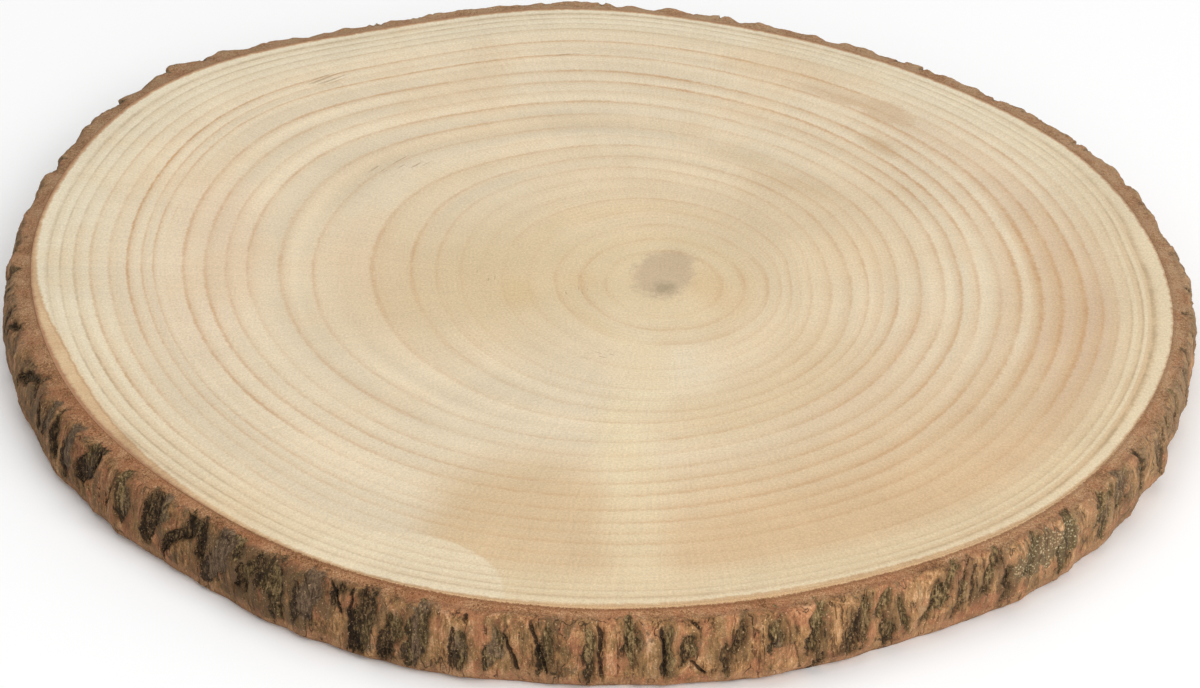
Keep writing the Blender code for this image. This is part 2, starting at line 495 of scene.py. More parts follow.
def shapeWood(piece, radius):
    look = woodLook
    columns = look["columns"]
    pith, bearings, edge = woodSections(columns)
    points = readPoints(piece.data)
    turn = np.arctan2(points[:, 1], points[:, 0])
    column = np.round(turn / math.tau * columns).astype(int) % columns
    far = np.hypot(points[:, 0], points[:, 1])
    top = points[:, 2] > topHeight / 2
    share = np.clip(far / radius, 0.0, 1.0)
    share[far < radius / look["topRows"] * 0.5] = 0.0

    # the outer rings follow the outline and the inner ones are rounder
    even = float(edge.mean())
    reach = edge[column]
    distance = share * (even + share * (reach - even))
    gap = look["jointGap"] * ease((share - 0.9) * 10)
    bearing = bearings[column]
    points[:, 0] = pith[0] + (distance - gap) * np.cos(bearing)
    points[:, 1] = pith[1] + (distance - gap) * np.sin(bearing)
    points[:, 2] = np.where(top, topHeight, 0.0)
    points[~top, :2] += undersideLean
    rim = ease((share - 1.0) * look["topRows"] + 1.0)
    points[:, 2] += np.where(top, -1.0, 1.0) * look["arris"] * rim
    piece.data.vertices.foreach_set("co", points.ravel())
    piece.data.update()

    # growth rings: a count that is whole on each dark line
    knots = np.array(look["rings"])
    count = np.arange(len(knots)) + 1.0
    place = ringPlace(share, bearing)
    place[~top] = ringPlace(share, bearing, False)[~top]
    age = np.interp(place, np.r_[0.0, knots[:, 0], 1.03], np.r_[0.5, count, len(knots) + 1.0])
    spacing = np.gradient(np.r_[0.0, knots[:, 0], 1.0])[1:-1]
    gapWide = np.interp(place, knots[:, 0], spacing) * reach / millimetre
    draw = (bearing / math.tau) % 1.0
    turned = np.degrees(bearing)
    fade = 0.5 + 0.6 * bumpiness(draw, place, 9, 26, 61) + 0.4 * bumpiness(draw, place, 29, 26, 62)
    ink = np.interp(age, count, knots[:, 1]) * (0.35 + 0.75 * np.clip(fade, 0, 1.2))
    paleAt, halfWidth, loss = look["paleSide"]
    ink *= 1 - loss * hill(turned, paleAt, halfWidth) * ease((0.955 - place) * 60)
    for number, sideAt, halfWidth, strength in look["oneSided"]:
        near = hill(turned, sideAt, halfWidth, 4) * (np.abs(age - number) < 0.5)
        ink *= 1 - (1 - strength) * near
    width = np.interp(age, count, knots[:, 2])
    bandAt, halfWidth, gain = look["bandSide"]
    bands = 0.8 + gain * hill(turned, bandAt, halfWidth)

    # stains and paler places, from broad to small
    x = points[:, 0] - middle.x
    y = points[:, 1] - middle.y
    warpX = 3.0 * bumpiness(draw, place, 11, 9, 71) + 1.2 * bumpiness(draw, place, 40, 22, 72)
    warpY = 3.0 * bumpiness(draw, place, 11, 9, 73) + 1.2 * bumpiness(draw, place, 40, 22, 74)
    tint = np.empty((len(points), 4))
    tint[:] = shade(*look["base"])
    broad, short = look["ringTone"]
    ringTone = broad * bumpiness(draw, place, 5, 44, 75) + short * bumpiness(draw, place, 13, 64, 76)
    tint *= 1.0 + ringTone[:, None] * ease(place * 5)[:, None]

    def lay(colour, amount):
        tint[:] += (np.array(shade(*colour)) - tint) * amount[:, None]

    for arc in look["arcs"]:
        across = np.abs(place + 0.004 * warpX - arc[0]) / arc[1]
        along = np.abs(turnApart(turned, arc[2])) / arc[3]
        lay(arc[4], arc[5] * (1 - ease(across - 0.25)) * (1 - ease(along - 0.4)) * np.where(top, 1.0, 0.6))
    for blot in look["blots"]:
        side = np.where(top, 1.0, 0.0 if blot[7] < 0.6 else 0.7)
        lay(blot[5], blotShare(np.where(top, x, -y), np.where(top, y, x), blot, warpX, warpY) * side)
    front = ease(0.5 + 0.9 * np.cos(np.radians(turned + 62)))
    pale = ease((place - 0.86) / 0.09)
    lay(look["rimPale"], pale * (1 - front) * 0.8)
    lay(look["rimFront"], pale * front * 0.7)
    for blot in look["pithBlots"]:
        lay(blot[5], blotShare(x, y, blot, warpX * 0.3, warpY * 0.3) * np.where(top, 1.0, 0.6))
    tint[:, 3] = 1.0

    giveAttribute(piece, "age", age)
    giveAttribute(piece, "spacing", gapWide)
    giveAttribute(piece, "ink", ink)
    giveAttribute(piece, "bands", np.clip(bands * ink, 0, 1.4))
    giveAttribute(piece, "lineWidth", width)
    giveAttribute(piece, "fromEdge", (reach - distance) / millimetre)
    giveAttribute(piece, "tint", tint, "FLOAT_COLOR")
    for name, patches in look["patches"].items():
        inside = np.full(len(points), -6.0)
        for centreX, centreY, halfWidth, halfDepth, lean in patches:
            cos, sin = math.cos(math.radians(lean)), math.sin(math.radians(lean))
            right, back = x / millimetre - centreX, y / millimetre - centreY
            along = (right * cos + back * sin) / halfWidth
            across = (back * cos - right * sin) / halfDepth
            inside = np.maximum(inside, (1 - np.hypot(along, across)) * min(halfWidth, halfDepth))
        giveAttribute(piece, name, np.where(top, np.clip(inside, -6, 6), -6.0))
    edgeTurn = np.degrees(np.arctan2(y, x))
    giveAttribute(piece, "pastJoint", (reach - distance) / millimetre - alongTurn("joint", edgeTurn))
    giveAttribute(piece, "bastWide", alongTurn("bast", edgeTurn))


def unwrapWood(piece):
    # the top face large and the underside smaller on one square, with the hidden side wall in a corner
    mesh = piece.data
    layer = mesh.uv_layers.new(name="OFBake")
    mesh.uv_layers.active = layer
    layer.active_render = True
    points = readPoints(mesh)
    size = max(sliceWidth, sliceDepth)
    loops = np.empty(len(mesh.loops), int)
    mesh.loops.foreach_get("vertex_index", loops)
    normals = np.array([face.normal.z for face in mesh.polygons])
    totals = np.array([face.loop_total for face in mesh.polygons])
    facing = np.repeat(normals, totals)
    faceMiddle = np.repeat(np.array([face.center for face in mesh.polygons]), totals, axis=0)
    corner = points[loops]
    x = (corner[:, 0] - middle.x) / size
    y = (corner[:, 1] - middle.y) / size
    places = np.empty((len(loops), 2))
    places[:, 0] = np.where(facing > 0.5, 0.352 + 0.70 * x, 0.765 + 0.46 * x)
    places[:, 1] = np.where(facing > 0.5, 0.648 + 0.70 * y, 0.235 - 0.46 * y)
    wall = np.abs(facing) < 0.5
    turn = np.arctan2(corner[:, 1], corner[:, 0]) / math.tau
    faceTurn = np.arctan2(faceMiddle[:, 1], faceMiddle[:, 0]) / math.tau
    turn = faceTurn + (turn - faceTurn + 0.5) % 1.0 - 0.5
    places[wall, 0] = 0.02 + 0.46 * (turn[wall] + 0.5)
    places[wall, 1] = 0.01 + 0.05 * corner[wall, 2] / topHeight
    layer.data.foreach_set("uv", places.astype(np.float32).ravel())


def woodMaterial():
    look = woodLook
    colours = look["colours"]
    contrast = look["contrast"]
    material, shader, wire = newMaterial("sanded_end_grain", 0.62, 0.32)
    place = wire.node("TexCoord", out="Object")
    pith = woodSections(8)[0]
    flat = place.vector("SUBTRACT", (pith[0], pith[1], 0.0)).vector("MULTIPLY", (1.0, 1.0, 0.0))
    far = flat.vector("LENGTH", out="Value")
    way = flat.vector("NORMALIZE")
    rays = way.raised(far, 0.22)

    age = wire.stored("age")
    ink = wire.stored("ink")
    width = wire.stored("lineWidth")
    fromEdge = wire.stored("fromEdge")
    calm = 0.35 + 0.65 * fromEdge.rise(6.0, 22.0)
    wobble = ((place.noise(900.0, 3.0, 0.65) - 0.5) * 1.3 + (rays.noise(110.0, 2.0) - 0.5) * 0.9) * calm
    fraction = wire.maths("FRACT", age + 0.5) - 0.5
    away = fraction * wire.stored("spacing") + wobble
    line = (abs(away) / width).rise(1.25, 0.05)
    glow = away.rise(-3.6, -0.1) * away.rise(0.7, 0.0)
    broken = place.noise(150.0, 4.0, 0.7).rise(0.36, 0.60)
    line = line * ink * (0.30 + 0.70 * broken)

    streaks = rays.noise(150.0, 4.0, 0.7) - 0.5
    fine = place.noise(1450.0, 2.0, 0.8) - 0.5
    soft = place.noise(30.0, 4.0, 0.6) - 0.5
    stripes = wire.maths("SINE", age * 29.0) * place.noise(38.0, 2.0).rise(0.48, 0.66) * far.rise(0.12, 0.05)
    light = look["brightness"] + streaks * contrast["streaks"] + fine * contrast["fine"]
    light = light + soft * contrast["soft"] + stripes * contrast["stripes"]

    colour = wire.storedColour("tint")
    warm = place.noise(24.0, 3.0, 0.6).rise(0.50, 0.68)
    colour = colour.toward(colours["warm"], warm * 0.35)
    grain = (place.noise(420.0, 3.0, 0.7) - 0.5) * 5.0
    wedge = (wire.stored("wedge") + grain * 0.25).rise(-0.5, 0.6)
    colour = colour.toward(colours["wedge"], wedge * fromEdge.rise(60.0, 20.0) * 0.84)
    colour = colour.toward(colours["band"], glow * wire.stored("bands") * look["bandStrength"])
    stain = (wire.stored("stain") + grain * 1.2).rise(-1.2, 2.4)
    colour = colour.toward(colours["stain"], stain * 0.70)
    smudge = (wire.stored("smudge") + grain * 1.5).rise(-1.5, 2.6)
    colour = colour.toward(colours["smudge"], smudge * 0.86)
    core = (wire.stored("core") + grain * 1.0).rise(-1.6, 2.2)
    colour = colour.toward(colours["core"], core * 0.72)
    ringStops = ((0.0, colours["line"]), (1.0, colours["rimLine"]))
    ringColour = fromEdge.rise(20.0, 8.0).ramp(ringStops)
    colour = colour.toward(ringColour, line * look["lineStrength"])

    # short dark dashes left by the sander, along the rings
    ringwise = way.lit(11.0).raised(far, 1500.0)
    dash = ringwise.noise(1.0, 0.0).rise(0.66, 0.72) * wire.stored("sanderMarks").rise(-1.0, 1.0)
    colour = colour.toward(colours["dash"], dash * 0.45)

    # tan bast, then the first of the bark
    past = wire.stored("pastJoint") + grain * 0.35
    bastWide = wire.stored("bastWide")
    hatch = rays.noise(420.0, 3.0, 0.6)
    tan = ((hatch - 0.5) * 1.0 + soft * 1.5 + 0.5).ramp(look["bastStops"])
    colour = colour.toward(tan, (past - bastWide).rise(0.5, -0.5) * 0.9)
    bastEdge = abs(past - bastWide + 0.5).rise(0.5, 0.1) * bastWide.rise(1.5, 3.5)
    colour = colour.toward(colours["bastEdge"], bastEdge * 0.45)
    colour = colour.toward(colours["nearJoint"], past.rise(1.0, 0.0) * 0.35)
    colour = colour.toward(colours["bark"], past.rise(0.35, -0.35) * 0.9)
    colour = colour.lit(light)

    roughness = 0.62 + streaks * 0.2 + fine * 0.2
    heights = (
        (fine, 0.0002, 0.22),
        (streaks - line * 0.8, 0.0001, 0.25),
    )
    finishMaterial(material.node_tree, shader, colour, roughness, heights)
    return material


woodDisc, discRadius = addWoodDisc()
shapeWood(woodDisc, discRadius)
unwrapWood(woodDisc)
woodDisc.data.materials.append(woodMaterial())
bpy.ops.object.shade_smooth_by_angle(angle=math.radians(35))
print("stage 2: wood disc shaped,", len(woodDisc.data.polygons), "faces")


barkLook = {
    "columns": 1800,
    "outerRows": 44,
    "underRows": 5,
    "innerRows": 4,
    "sectionRadius": 0.006,
    "wallReach": 0.0002,
    "degree": 3.03,                       # mm round the trunk in one degree
    "furrowLonger": 1.0,                  # mm added at the top and at the foot of every furrow
    "furrowWider": (1.36, 1.10),          # on the left and elsewhere
    "widerUpTo": -105,                    # bearing where the left side ends
    "furrowSlant": 0.085,                 # how far a furrow's ends are cut aslant, as a share per mm
    "furrowPoint": 2.4,                   # the ends are pointed at 1 and blunt at 4
    "furrows": (
        # bearing at its top and at its foot, height of its top and its foot, half width in mm,
        # tone from 0 black over 1 olive to 2 grey, depth in mm
        (-171, -171.5, 21.2, 18.5, 1.6, 0.0, 1.0),
        (-161.5, -164, 21.0, 13.5, 3.4, 0.1, 1.6),
        (-159.8, -159.8, 20.8, 19.0, 0.9, 0.0, 0.8),
        (-157.8, -156.6, 19.5, 10.5, 1.1, 0.0, 1.2),
        (-155.2, -155.0, 20.6, 12.5, 1.7, 1.8, 0.5),
        (-154, -152.3, 21.2, 9.5, 1.6, 0.1, 1.5),
        (-150.7, -150.4, 20.2, 5.0, 2.6, 1.9, 0.5),
        (-146.8, -146.2, 20.8, 12.0, 5.6, 0.2, 1.3),
        (-141, -139.4, 20.6, 8.5, 2.4, 1.5, 0.7),
        (-136.4, -136.0, 21.3, 7.5, 2.8, 0.1, 1.7),
        (-134.7, -134.7, 20.2, 15.0, 2.4, 1.7, 0.4),
        (-131.2, -133.0, 20.4, 8.5, 3.6, 0.1, 1.6),
        (-130, -129.2, 21.6, 8.5, 1.9, 0.0, 1.6),
        (-127, -127.0, 20.8, 7.5, 4.8, 1.9, 0.6),
        (-124.5, -124.3, 21.0, 16.5, 1.5, 0.8, 0.6),
        (-121.8, -124.2, 20.0, 9.0, 2.2, 0.2, 1.4),
        (-121.0, -121.4, 21.2, 11.0, 1.7, 0.3, 1.2),
        (-120.2, -119.2, 19.8, 5.5, 2.3, 0.7, 1.1),
        (-119.6, -119.2, 20.9, 18.8, 0.9, 0.0, 0.8),
        (-116.4, -116.2, 20.8, 8.5, 3.7, 1.8, 0.7),
        (-113.2, -113.2, 20.8, 18.0, 1.5, 0.2, 0.8),
        (-110.8, -110.6, 21.3, 4.5, 3.2, 0.2, 1.7),
        (-108.2, -107.8, 16.5, 4.5, 3.0, 0.4, 1.4),
        (-105.6, -105.4, 21.0, 3.5, 2.8, 1.5, 0.8),
        (-101.6, -101.4, 16.0, 4.0, 2.2, 0.9, 1.0),
        (-98.8, -98.8, 16.5, 7.0, 2.6, 1.3, 0.5),
        (-94.4, -94.2, 18.5, 5.0, 2.0, 0.8, 1.1),
        (-90.6, -90.4, 19.5, 3.0, 1.5, 1.2, 0.6),
        (-87.0, -86.9, 20.4, 8.5, 2.0, 0.7, 1.3),
        (-84.2, -83.8, 20.4, 4.0, 1.5, 0.9, 1.1),
        (-82.3, -82.2, 18.4, 10.5, 1.9, 0.4, 1.3),
        (-77.3, -78.4, 21.4, 9.5, 1.5, 0.1, 1.3),
        (-79.0, -78.8, 16.5, 4.5, 0.9, 0.2, 0.9),
        (-74.9, -74.6, 20.8, 12.0, 2.0, 1.1, 0.8),
        (-70.7, -71.5, 20.9, 7.0, 1.9, 0.7, 1.3),
        (-71.0, -70.6, 5.6, 0.0, 1.8, 0.1, 1.1),
        (-67.8, -67.8, 19.4, 5.0, 1.9, 0.7, 1.3),
        (-66.6, -66.4, 18.6, 6.5, 1.8, 0.8, 1.2),
        (-64.3, -64.8, 19.8, 13.5, 1.5, 1.0, 0.8),
        (-63.3, -61.8, 16.5, 6.0, 1.4, 0.8, 1.2),
        (-64.8, -63.4, 12.5, 1.5, 2.2, 0.7, 1.2),
        (-57.3, -59.5, 21.2, 9.5, 2.2, 0.8, 1.2),
        (-59.2, -60.3, 17.5, 5.5, 1.1, 0.1, 1.2),
        (-56.0, -57.4, 20.5, 4.5, 1.5, 0.3, 1.2),
        (-52.9, -54.6, 21.2, 8.5, 1.5, 0.4, 1.1),
        (-52.2, -52.1, 15.5, 4.5, 1.1, 0.1, 1.1),
        (-48.8, -49.4, 20.8, 12.0, 3.4, 0.7, 0.8),
        (-45.2, -45.0, 20.5, 7.5, 3.4, 0.7, 0.8),
        (-40.1, -40.0, 21.2, 12.5, 2.6, 0.6, 1.1),
        (-38.6, -39.4, 18.5, 8.5, 2.6, 1.0, 0.8),
        (-36.5, -36.4, 20.8, 13.5, 3.2, 1.6, 0.8),
        (-35.7, -35.7, 14.8, 13.0, 0.8, 0.0, 0.6),
        (-33.0, -32.6, 21.2, 11.5, 2.9, 0.3, 1.2),
        (-27.0, -27.0, 19.4, 16.5, 1.5, 0.1, 0.9),
    ),
    "cracks": (
        # bearing at its top and at its foot, height of its top and its foot
        (-145.5, -145.7, 22.0, 15.0),
        (-141.6, -143.6, 17.5, 7.0),
        (-114.2, -112.6, 22.0, 12.5),
        (-111.9, -112.0, 21.8, 8.0),
        (-102.2, -102.6, 18.5, 3.0),
        (-101.3, -101.2, 21.3, 19.6),
        (-98.0, -96.6, 17.5, 3.5),
        (-95.7, -94.0, 21.4, 3.5),
        (-89.6, -89.5, 21.4, 2.5),
        (-84.5, -84.0, 20.8, 2.5),
        (-81.7, -81.2, 20.7, 18.6),
        (-82.0, -80.6, 10.0, 4.5),
        (-66.9, -67.4, 18.5, 9.0),
        (-55.0, -55.9, 19.9, 7.5),
        (-28.0, -27.2, 9.0, 3.0),
        (-17.0, -17.3, 21.0, 9.0),
    ),
    "notches": (
        # bearing, half width in degrees, depth in mm of the gaps between the plates seen against the light
        (3.8, 1.6, 1.4), (10, 3.0, 0.6), (18.7, 0.9, 1.2), (25.4, 1.4, 0.9), (34, 1.6, 0.7),
        (42, 1.4, 1.6), (49.3, 0.8, 0.8), (55.8, 2.4, 1.8), (62.5, 1.9, 1.9), (67.2, 2.4, 1.3),
        (73.2, 1.8, 1.8), (79.2, 2.2, 1.0), (83.8, 1.8, 1.9), (88, 1.2, 2.1), (97.9, 1.6, 1.7),
        (109, 0.8, 1.1), (115, 2.6, 0.8), (119.5, 0.8, 0.7), (122, 1.6, 2.2), (128, 2.2, 0.7),
        (133, 1.9, 1.8), (141.2, 2.2, 1.9), (145, 1.9, 1.9), (149.4, 0.6, 0.9), (153.2, 2.2, 1.2),
        (158.7, 1.7, 2.0), (166, 2.0, 0.9), (173, 1.0, 0.8), (179, 1.2, 0.9),
    ),
    "swellings": (
        # bearing, half width in degrees, height in mm of plates that stand out
        (17, 1.6, 0.9), (60.6, 1.6, 0.6), (64.6, 1.5, 0.8), (71.2, 1.6, 1.1), (75.2, 1.6, 1.2),
        (82, 1.8, 1.1), (107.5, 3.0, 0.5), (131, 1.2, 0.8), (136, 2.2, 1.1), (148.6, 1.8, 0.7),
        (150.8, 1.6, 1.2), (157, 1.8, 0.9),
    ),
    "notchShare": 0.6,
    "swellingShare": 0.45,
    "bareStretches": ((-30.0, 180.0), (-180.0, -172.0)),       # bearings with furrows drawn at random
    "randomSpacing": (1.8, 4.4),
    "lichen": (-47.6, 4.6, 14.5, 6.5),                          # bearing, half width, height, half height
    "weathered": (
        # bearing, half width and strength of stretches where the whole side has gone dark
        (-173, 7, 0.5), (-160, 7, 0.55), (-148, 5, 0.5), (-134, 4, 0.4), (-121, 12, 0.8), (-106, 3, 0.5),
        (-94, 2.5, 0.5), (-83, 3, 0.4), (-66, 3, 0.4), (-50, 5, 0.4), (-20, 9, 0.5), (15, 9, 0.4),
        (60, 14, 0.5), (105, 12, 0.5), (150, 14, 0.5),
    ),
    "faded": (
        # how bleached the bark is, by bearing
        (-180, 0.4), (-150, 0.0), (-75, 0.0), (-50, 0.25), (-30, 0.5), (0, 0.8), (90, 1.0), (150, 0.8),
        (180, 0.4),
    ),
    "seed": 23,
    # colours by place on each noise: the ridges, the sanded band, the furrows' three kinds and the lichen
    "ridgeStops": (
        (0.05, (78, 54, 32)), (0.25, (116, 84, 54)), (0.48, (148, 109, 70)), (0.70, (170, 128, 87)),
        (0.95, (196, 156, 118)),
    ),
    "bandStops": ((0.0, (98, 63, 37)), (0.3, (142, 100, 66)), (0.6, (165, 122, 86)), (1.0, (188, 147, 110))),
    "blackStops": ((0.1, (40, 28, 15)), (0.5, (70, 52, 31)), (0.9, (122, 95, 63))),
    "oliveStops": ((0.1, (64, 50, 28)), (0.5, (97, 78, 48)), (0.9, (146, 122, 83))),
    "greyStops": ((0.1, (72, 55, 40)), (0.5, (103, 82, 61)), (0.9, (138, 113, 87))),
    "lichenStops": (
        (0.0, (206, 196, 162)), (0.22, (170, 156, 120)), (0.34, (98, 82, 54)), (0.6, (78, 64, 40)),
    ),
    "colours": {
        "red": (172, 110, 80),
        "redBand": (158, 98, 65),
        "drab": (112, 90, 58),
        "furrowMargin": (92, 68, 43),
        "worn": (90, 71, 48),
        "foot": (160, 120, 88),
        "slit": (42, 29, 16),
        "fissure": (34, 23, 13),
        "crumbs": (214, 178, 138),
        "pinholes": (60, 42, 26),
        "bast": (206, 170, 128),
        # the line at the joint: partly the bark's own dark edge, partly painted shadow of the slit beside the
        # wood
        "seam": (126, 84, 54),
        "faded": (162, 137, 107),
    },
    "brightness": 0.87,
}


def addBarkRing():
    # a small upright hoop, one point for each step of the bark's section, turned round the trunk's middle
    look = barkLook
    rows = look["outerRows"] + look["underRows"] + look["innerRows"]
    radius = float(np.hypot(woodEdge[:, 0], woodEdge[:, 1]).mean())
    deselectAll()
    bpy.ops.mesh.primitive_circle_add(
        vertices=rows,
        radius=look["sectionRadius"],
        location=(radius, 0, topHeight / 2),
        rotation=(math.radians(90), 0, 0),
    )
    bpy.ops.object.transform_apply(location=True, rotation=True, scale=True)
    piece = bpy.context.object
    piece.name = "bark_ring"
    lathe = piece.modifiers.new("lathe", "SCREW")
    lathe.axis = "Z"
    lathe.angle = math.tau
    lathe.steps = look["columns"]
    lathe.render_steps = look["columns"]
    lathe.use_merge_vertices = True
    lathe.merge_threshold = 0.00001
    bpy.ops.object.modifier_apply(modifier="lathe")
    bpy.ops.object.mode_set(mode="EDIT")
    bpy.ops.mesh.select_all(action="SELECT")
    bpy.ops.mesh.normals_make_consistent(inside=False)
    bpy.ops.object.mode_set(mode="OBJECT")
    return piece, rows, radius


def allFurrows():
    # the ones listed, then more at random where the list has none
    look = barkLook
    draw = np.random.default_rng(look["seed"])
    found = list(look["furrows"])
    for start, end in look["bareStretches"]:
        bearing = start + draw.uniform(0.5, 2.0)
        while bearing < end - 1:
            topZ = draw.uniform(18.5, 21.4) if draw.random() < 0.75 else draw.uniform(9, 16)
            footZ = max(0.5, topZ - draw.uniform(6, 17))
            lean = draw.normal(0.0, 0.7)
            tone = draw.choice((0.1, 0.4, 0.8, 1.2, 1.8), p=(0.28, 0.22, 0.25, 0.1, 0.15))
            wide = draw.uniform(0.9, 2.9) * (1.3 if tone > 1.5 else 1.0)
            deep = draw.uniform(0.9, 1.7) * (0.45 if tone > 1.5 else 1.0)
            found.append((bearing, bearing + lean, topZ, footZ, wide, tone, deep))
            bearing += draw.uniform(*look["randomSpacing"])
    return found


def allCracks():
    look = barkLook
    draw = np.random.default_rng(look["seed"] + 1)
    found = list(look["cracks"])
    for start, end in look["bareStretches"]:
        bearing = start + draw.uniform(1, 5)
        while bearing < end - 1:
            topZ = draw.uniform(12, 21.6)
            footTurn = bearing + draw.normal(0, 0.6)
            found.append((bearing, footTurn, topZ, max(1.5, topZ - draw.uniform(5, 16))))
            bearing += draw.uniform(3, 9)
    return found


def shapeBark(piece, rows, radius):
    look = barkLook
    columns = look["columns"]
    bearing = np.arange(columns) * math.tau / columns
    degrees = turnApart(np.degrees(bearing), 0.0)

    # coarse section, from the wood's top edge out, down and back under, through the frame's rings
    ringRadius = np.array([radiusAt(ring, (middle.x, middle.y), bearing) for ring in reversed(rings)])
    ringHeight = np.array([ring[:, 2].mean() for ring in reversed(rings)])
    meanRadius = ringRadius.mean(1)
    length = np.r_[0.0, np.cumsum(np.hypot(np.diff(meanRadius), np.diff(ringHeight)))]
    outer = look["outerRows"]
    wanted = np.linspace(0.0, length[-1], outer)
    coarse = softThrough(length, ringRadius, wanted)
    height = softThrough(length, ringHeight[:, None], wanted)[:, 0]
    slopeOut = np.gradient(coarse.mean(1), wanted)
    slopeDown = np.gradient(height, wanted)
    steep = np.hypot(slopeOut, slopeDown)
    outward = -slopeDown / steep
    upward = slopeOut / steep

    z = np.repeat((height / millimetre)[:, None], columns, axis=1)
    along = np.repeat((wanted / wanted[-1])[:, None], columns, axis=1)
    around = np.repeat((bearing / math.tau)[None, :], outer, axis=0)
    turn = np.repeat(degrees[None, :], outer, axis=0)
    fromWood = np.repeat((wanted / millimetre)[:, None], columns, axis=1)

    warp = 0.7 * bumpiness(around, along, 190, 9, 1) + 0.4 * bumpiness(around, along, 460, 22, 2)
    warpUp = 1.4 * bumpiness(around, along, 260, 7, 3) + 2.3 * bumpiness(around, along, 640, 5, 4)
    furrow = np.full(turn.shape, -3.0)
    tone = np.full(turn.shape, 1.0)
    flank = np.zeros(turn.shape)
    depth = np.zeros(turn.shape)
    for topTurn, footTurn, topZ, footZ, halfWidth, hue, deep in allFurrows():
        topZ = topZ + look["furrowLonger"]
        footZ = max(0.3, footZ - look["furrowLonger"])
        halfWidth = halfWidth * look["furrowWider"][0 if topTurn < look["widerUpTo"] else 1]
        level = ((z + warpUp) - footZ) / (topZ - footZ)
        line = footTurn + (topTurn - footTurn) * level
        across = turnApart(turn, line) * look["degree"] + warp
        level = level - across * look["furrowSlant"]
        leaf = 1 - np.abs(2 * level - 1) ** look["furrowPoint"]
        inside = halfWidth * leaf - np.abs(across) - np.clip(-leaf, 0, 5) * 3.0
        inside = np.clip(inside, -3.0, 3.0)
        better = inside > furrow
        tone = np.where(better, hue, tone)
        flank = np.where(better, across / halfWidth, flank)
        depth = np.maximum(depth, deep * ease(inside / 1.1 + 0.15))
        furrow = np.maximum(furrow, inside)

    crack = np.zeros(turn.shape)
    for topTurn, footTurn, topZ, footZ in allCracks():
        level = (z - footZ) / (topZ - footZ)
        across = turnApart(turn, footTurn + (topTurn - footTurn) * level) * look["degree"] + warp * 0.8
        ends = ease(np.minimum(level, 1 - level) * 6 + 0.3)
        crack = np.maximum(crack, np.clip(1 - np.abs(across) / 1.3, 0, 1) * ends)

    plates = np.zeros(turn.shape)
    for place, halfWidth, deep in look["notches"]:
        slant = 0.05 * (z - 16) * math.cos(place * 7)
        across = np.abs(turnApart(turn, place) + slant + warp * 0.2) / halfWidth
        plates -= look["notchShare"] * deep * np.clip(1 - across, 0, 1)
    for place, halfWidth, tall in look["swellings"]:
        plates += look["swellingShare"] * tall * (1 - ease(np.abs(turnApart(turn, place)) / halfWidth))

    # quiet on the sanded band at the top, rough on the side, smoothed again at the sawn foot
    band = ease((fromWood - 3.2) / 3.2)
    foot = ease(z / 2.2) * 0.7 + 0.3
    rough = band * foot
    fibres = 0.20 * bumpiness(around, along, 620, 7, 11) + 0.11 * bumpiness(around, along, 1100, 14, 12)
    lumps = 0.45 * bumpiness(around, along, 150, 5, 13) + 0.28 * bumpiness(around, along, 330, 14, 14)
    grain = 0.12 * bumpiness(around, along, 800, 34, 15)
    shoulder = 0.42 * np.exp(np.clip(furrow, -3, 0) / 0.9)
    offset = rough * (fibres + lumps + grain - depth - shoulder * (depth > 0.02) * 0.6)
    offset -= 1.0 * ease(crack * 1.6 - 0.5) * ease((fromWood - 1.5) / 4) * foot
    offset += ease((fromWood - 2.2) / 3.0) * plates * 0.85
    skin = ease(fromWood / 1.2) * (1 - band)
    pores = 0.10 * bumpiness(around, along, 700, 30, 16) + 0.12 * bumpiness(around, along, 220, 16, 17)
    offset += skin * (pores - 0.10)

    far = coarse + offset * outward[:, None] * millimetre
    level = height[:, None] + offset * upward[:, None] * millimetre
    far[0] += woodLook["jointGap"]
    level[0] -= 0.0001
    level = np.clip(level, 0.0, topHeight)
    level[-1] = 0.0

    # flat under the slice, then up the wall beside the wood
    underRows, innerRows = look["underRows"], look["innerRows"]
    wallRadius = ringRadius[0] + look["wallReach"]
    leanRadius = undersideLean[0] * np.cos(bearing) + undersideLean[1] * np.sin(bearing)
    inwardBy = wallRadius + leanRadius - far[-1]
    under = [far[-1] + inwardBy * (step + 1) / underRows for step in range(underRows)]
    underLevel = [np.zeros(columns) for _ in range(underRows)]
    wall, wallLevel = [], []
    for step in range(innerRows):
        rise = (step + 1) / (innerRows + 1)
        wall.append(wallRadius + leanRadius * (1 - rise))
        wallLevel.append(np.full(columns, rise * topHeight))
    farAll = np.vstack([far] + [np.array(under)] + [np.array(wall)])
    levelAll = np.vstack([level] + [np.array(underLevel)] + [np.array(wallLevel)])

    points = readPoints(piece.data)
    turnNow = np.arctan2(points[:, 1], points[:, 0])
    column = np.round(turnNow / math.tau * columns).astype(int) % columns
    out = np.hypot(points[:, 0], points[:, 1]) - radius
    up = points[:, 2] - topHeight / 2
    clock = np.arctan2(-up, out)                  # from straight out, downwards
    row = np.round(clock / math.tau * rows).astype(int)
    row = (row + outer // 2 + 1) % rows
    here = farAll[row, column]
    points[:, 0] = middle.x + here * np.cos(bearing[column])
    points[:, 1] = middle.y + here * np.sin(bearing[column])
    points[:, 2] = levelAll[row, column]
    piece.data.vertices.foreach_set("co", points.ravel())
    piece.data.update()

    hidden = rows - outer

    def whole(values, rest):
        return np.vstack([values, np.full((hidden, columns), rest)])[row, column]

